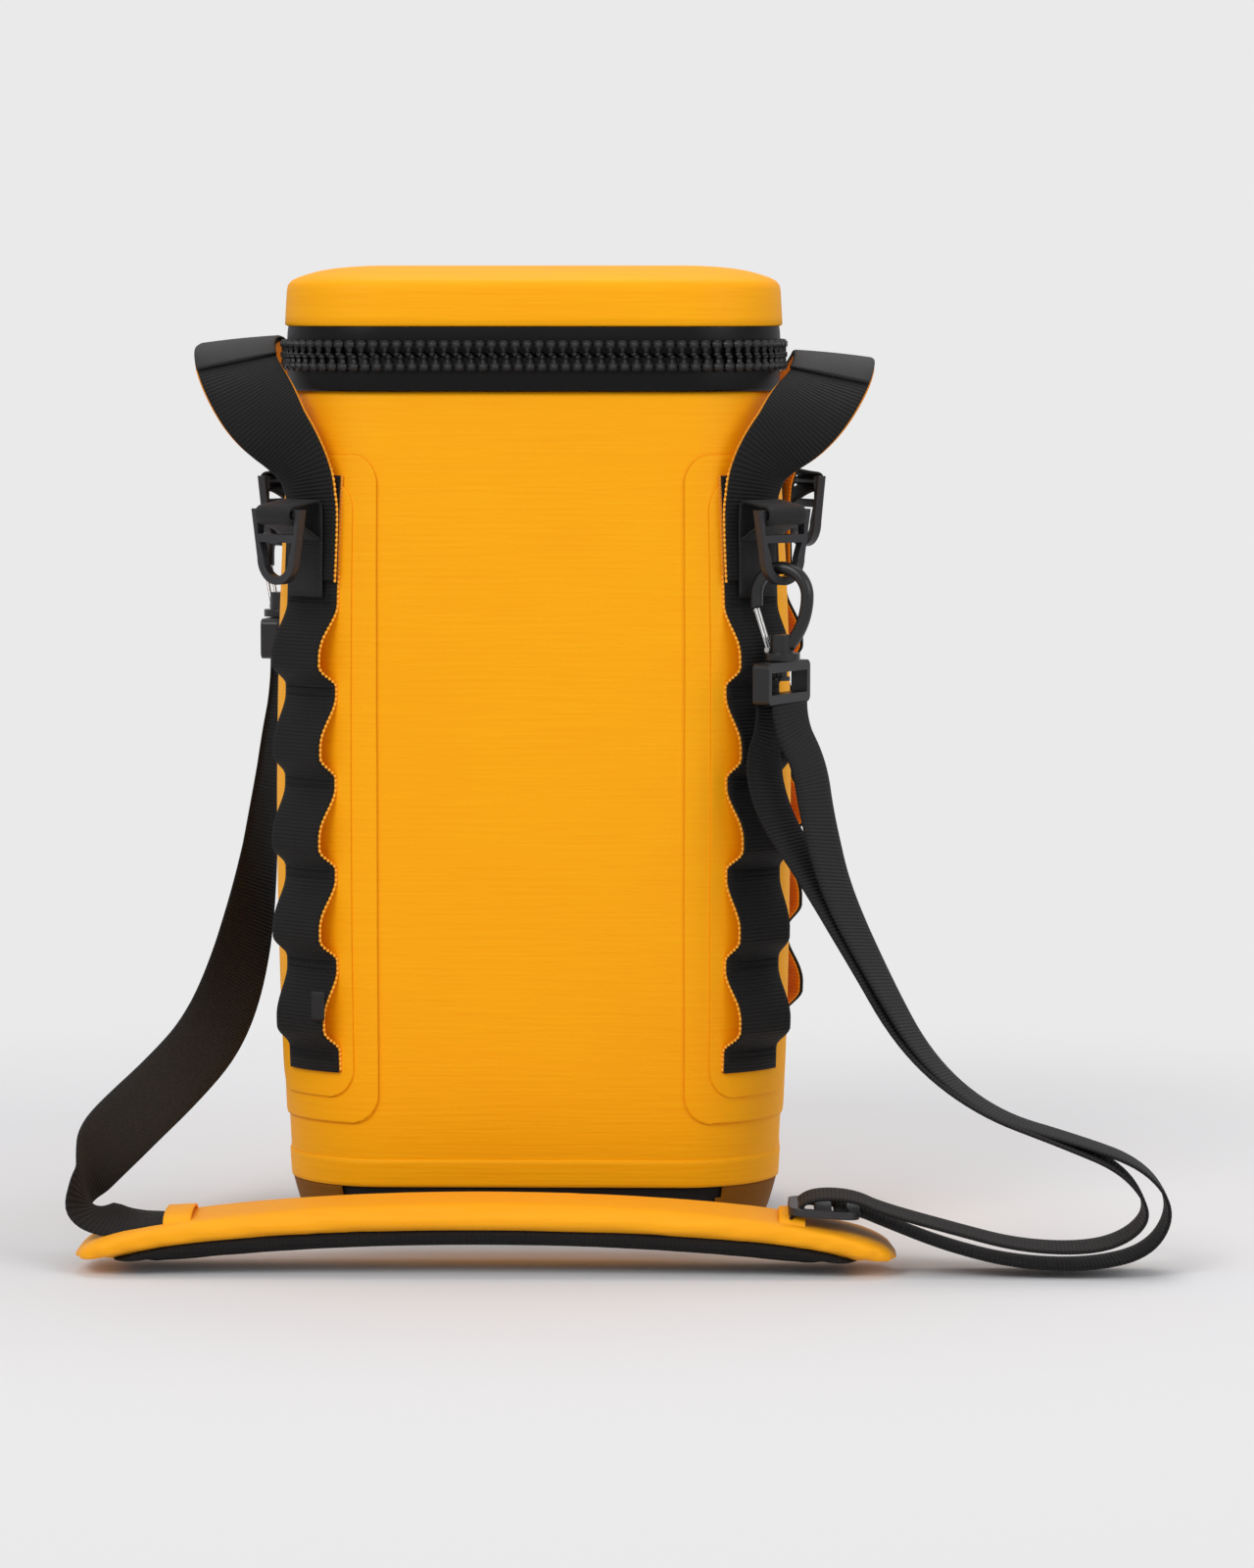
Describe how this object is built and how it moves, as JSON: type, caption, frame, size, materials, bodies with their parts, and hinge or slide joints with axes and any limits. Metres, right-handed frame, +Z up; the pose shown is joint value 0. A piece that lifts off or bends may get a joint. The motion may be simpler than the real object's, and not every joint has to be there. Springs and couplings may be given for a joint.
{
  "type": "soft cooler bag",
  "caption": "Soft insulated zip-top bag with corner webbing chains, side handles, plastic rings and a clip-on padded shoulder strap.",
  "frame": {"origin": "centre of the footprint on the ground, without the shoulder strap and its pad", "axes": "+Z up, front of the bag towards -Y, +X to the viewer's right"},
  "size_m": [0.5877, 0.3225, 0.537],
  "materials": {
    "coated_fabric": "yellow-orange coated ripstop, fine crosswise ribs",
    "black_webbing": "black ribbed webbing",
    "orange_lining": "orange webbing lining",
    "base_rubber": "black moulded base",
    "foam": "closed-cell insulation foam",
    "liner_fabric": "grey wipe-clean film liner",
    "zip_tape": "satin black coated zip tape",
    "zip_plastic": "black moulded zip teeth",
    "ring_plastic": "black acetal, satin",
    "grip_fabric": "smooth black grip sleeve",
    "hook_plastic": "black powder-coated snap hook",
    "gate_steel": "bright steel wire",
    "mesh_fabric": "black spacer mesh",
    "patch_fabric": "coated ripstop, welded",
    "label_fabric": "black label cloth, bare"
  },
  "bodies": {
    "bag": {"base_tray": "base_rubber", "base_corners": "coated_fabric", "body_shell": "coated_fabric", "hem_band": "coated_fabric", "wall_foam": "foam", "floor_foam": "foam", "inner_liner": "liner_fabric", "liner_rim": "liner_fabric", "corner_patch_front_left": "coated_fabric", "corner_patch_front_right": "coated_fabric", "corner_patch_back_left": "coated_fabric", "corner_patch_back_right": "coated_fabric", "chain_backings": "patch_fabric", "daisy_chain_front_left": "black_webbing", "daisy_chain_front_right": "black_webbing", "daisy_chain_back_left": "black_webbing", "daisy_chain_back_right": "black_webbing", "chain_lining_front_left": "orange_lining", "chain_lining_front_right": "orange_lining", "chain_lining_back_left": "orange_lining", "chain_lining_back_right": "orange_lining", "lower_zip_tape": "zip_tape", "lower_zip_teeth": "zip_plastic", "lid_hinge_strip": "zip_tape", "ring_tabs": "black_webbing", "label_tab": "label_fabric", "strap_front_outer": "black_webbing", "strap_front_inner": "black_webbing", "strap_rear": "black_webbing", "pad_mesh": "mesh_fabric", "pad_cushion": "coated_fabric", "pad_keepers": "coated_fabric", "tri_glide": "ring_plastic"},
    "lid": {"lid_shell": "coated_fabric", "lid_foam": "foam", "lid_liner": "liner_fabric", "upper_zip_tape": "zip_tape", "upper_zip_teeth": "zip_plastic"},
    "zip_slider": {"zip_slider": "zip_plastic"},
    "zip_puller": {"zip_puller": "zip_plastic"},
    "handle_left": {"handle_left": "black_webbing", "handle_lining_left": "orange_lining", "handle_grip_left": "grip_fabric"},
    "handle_right": {"handle_right": "black_webbing", "handle_lining_right": "orange_lining", "handle_grip_right": "grip_fabric"},
    "ring_front_left": {"d_ring_front_left": "ring_plastic"},
    "ring_front_right": {"d_ring_front_right": "ring_plastic"},
    "ring_back_left": {"d_ring_back_left": "ring_plastic"},
    "ring_back_right": {"d_ring_back_right": "ring_plastic"},
    "clip_front": {"clip_base_front": "hook_plastic"},
    "hook_front": {"hook_body_front": "hook_plastic"},
    "gate_front": {"hook_gate_front": "gate_steel"},
    "clip_rear": {"clip_base_rear": "hook_plastic"},
    "hook_rear": {"hook_body_rear": "hook_plastic"},
    "gate_rear": {"hook_gate_rear": "gate_steel"}
  },
  "joints": [
    {"name": "lid_open", "type": "hinge", "parent": "bag", "child": "lid", "pos_m": [0, 0.0995, 0.488], "axis": [-1, 0, 0], "range_deg": [0, 105], "deforming": ["lid_hinge_strip"]},
    {"name": "zip_slider_travel", "type": "hinge", "parent": "bag", "child": "zip_slider", "pos_m": [-0.081, 0.0475, 0.482], "axis": [0, 0, 1], "range_deg": [0, 24]},
    {"name": "zip_puller_swing", "type": "hinge", "parent": "zip_slider", "child": "zip_puller", "pos_m": [-0.10351, 0.10322, 0.4834], "axis": [0.9272, 0.3746, 0], "range_deg": [-2, 80]},
    {"name": "handle_left_swing", "type": "hinge", "parent": "bag", "child": "handle_left", "pos_m": [-0.1275, 0, 0.4265], "axis": [0, -1, 0], "range_deg": [0, 14]},
    {"name": "handle_right_swing", "type": "hinge", "parent": "bag", "child": "handle_right", "pos_m": [0.1275, 0, 0.4265], "axis": [0, 1, 0], "range_deg": [0, 14]},
    {"name": "ring_front_left_swing", "type": "hinge", "parent": "bag", "child": "ring_front_left", "pos_m": [-0.13654, -0.10918, 0.402], "axis": [-0.7431, 0.6691, 0], "range_deg": [-8, 75]},
    {"name": "ring_front_right_swing", "type": "hinge", "parent": "bag", "child": "ring_front_right", "pos_m": [0.13654, -0.10918, 0.402], "axis": [-0.7431, -0.6691, 0], "range_deg": [0, 22]},
    {"name": "ring_back_left_swing", "type": "hinge", "parent": "bag", "child": "ring_back_left", "pos_m": [-0.15139, 0.09148, 0.414], "axis": [0.5299, 0.848, 0], "range_deg": [0, 22]},
    {"name": "ring_back_right_swing", "type": "hinge", "parent": "bag", "child": "ring_back_right", "pos_m": [0.15139, 0.09148, 0.414], "axis": [0.5299, -0.848, 0], "range_deg": [-8, 75]},
    {"name": "clip_front_swing", "type": "hinge", "parent": "bag", "child": "clip_front", "pos_m": [0.13654, -0.10918, 0.402], "axis": [-0.7431, -0.6691, 0], "range_deg": [0, 22], "deforming": ["strap_front_outer", "strap_front_inner"]},
    {"name": "hook_front_swivel", "type": "hinge", "parent": "clip_front", "child": "hook_front", "pos_m": [0.13654, -0.10918, 0.322], "axis": [0, 0, 1], "range_deg": [-12, 12]},
    {"name": "gate_front_open", "type": "hinge", "parent": "hook_front", "child": "gate_front", "pos_m": [0.12959, -0.10609, 0.3288], "axis": [0.4067, 0.9135, 0], "range_deg": [0, 22], "stiffness_Nm_per_rad": 0.02, "springref_deg": -8.59},
    {"name": "clip_rear_swing", "type": "hinge", "parent": "bag", "child": "clip_rear", "pos_m": [-0.15139, 0.09148, 0.414], "axis": [0.5299, 0.848, 0], "range_deg": [0, 22], "deforming": ["strap_rear"]},
    {"name": "hook_rear_swivel", "type": "hinge", "parent": "clip_rear", "child": "hook_rear", "pos_m": [-0.15139, 0.09148, 0.334], "axis": [0, 0, 1], "range_deg": [-12, 12]},
    {"name": "gate_rear_open", "type": "hinge", "parent": "hook_rear", "child": "gate_rear", "pos_m": [-0.15564, 0.09778, 0.3408], "axis": [0.829, 0.5592, 0], "range_deg": [0, 22], "stiffness_Nm_per_rad": 0.02, "springref_deg": -8.59}
  ],
  "couplings": [
    {"joint": "clip_front_swing", "follows": "ring_front_right_swing", "ratio": 1},
    {"joint": "clip_rear_swing", "follows": "ring_back_left_swing", "ratio": 1}
  ]
}
